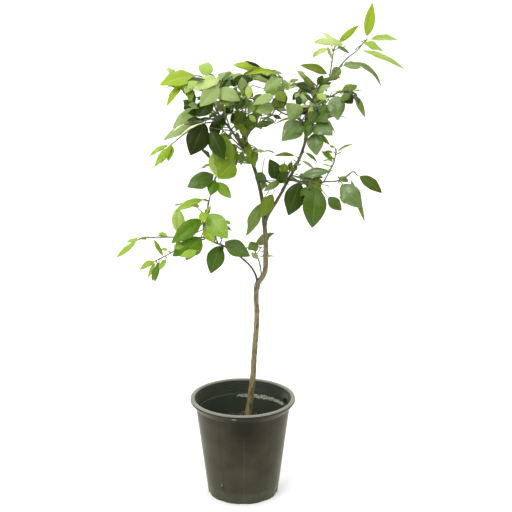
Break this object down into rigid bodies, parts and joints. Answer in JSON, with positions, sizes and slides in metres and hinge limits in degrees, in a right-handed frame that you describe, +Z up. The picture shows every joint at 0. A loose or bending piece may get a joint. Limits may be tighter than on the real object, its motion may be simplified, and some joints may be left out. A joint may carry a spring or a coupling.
{
  "type": "potted lemon tree",
  "caption": "Young lemon tree with a slender forked trunk, an open leafy crown and a round tapered nursery pot.",
  "frame": {"origin": "centre of the pot's flat underside, on the surface that it stands on", "axes": "+Z up along the tree; seen from -Y, as in the picture, +X is to the right"},
  "size_m": [0.706, 0.4409, 1.256],
  "materials": {
    "pot_plastic": "dull weathered black-olive plastic",
    "potting_mix": "moist crumbly bark and peat mix",
    "bark": "matt grey-brown young bark",
    "foliage": "green twigs and satin citrus leaves"
  },
  "bodies": {
    "root": {"pot": "pot_plastic", "soil": "potting_mix", "trunk": "bark", "left_leader": "bark", "right_leader": "bark", "low_left_bough": "bark", "low_left_riser": "bark", "upper_left_bough": "bark", "upper_middle_bough": "bark", "middle_right_bough": "bark", "top_right_bough": "bark", "cluster_bough": "bark", "centre_bough": "bark", "right_low_bough": "bark", "back_left_bough": "bark", "back_right_bough": "bark", "left_crest": "foliage", "left_front": "foliage", "left_dark": "foliage", "left_low": "foliage", "left_sprig": "foliage", "left_hanging": "foliage", "left_twig": "foliage", "leader_leaves": "foliage", "top_middle": "foliage", "middle_dark": "foliage", "top_bright": "foliage", "centre_twig": "foliage", "centre_end": "foliage", "right_knot": "foliage", "cluster_low": "foliage", "cluster_middle": "foliage", "cluster_tip": "foliage", "cluster_high": "foliage", "long_shoot": "foliage", "pale_shoot": "foliage", "inner_right": "foliage", "bough_shoot": "foliage", "low_pair": "foliage", "right_end": "foliage", "right_riser": "foliage", "riser_tip": "foliage", "riser_side": "foliage", "low_middle": "foliage", "low_left_spray": "foliage", "low_left_drop": "foliage", "low_right": "foliage", "low_back": "foliage", "back_left": "foliage", "back_middle": "foliage", "back_low": "foliage", "back_right": "foliage", "back_right_low": "foliage", "low_left_back": "foliage", "crown_back": "foliage", "leader_back": "foliage", "cluster_back": "foliage", "pair_back": "foliage"}
  },
  "joints": []
}
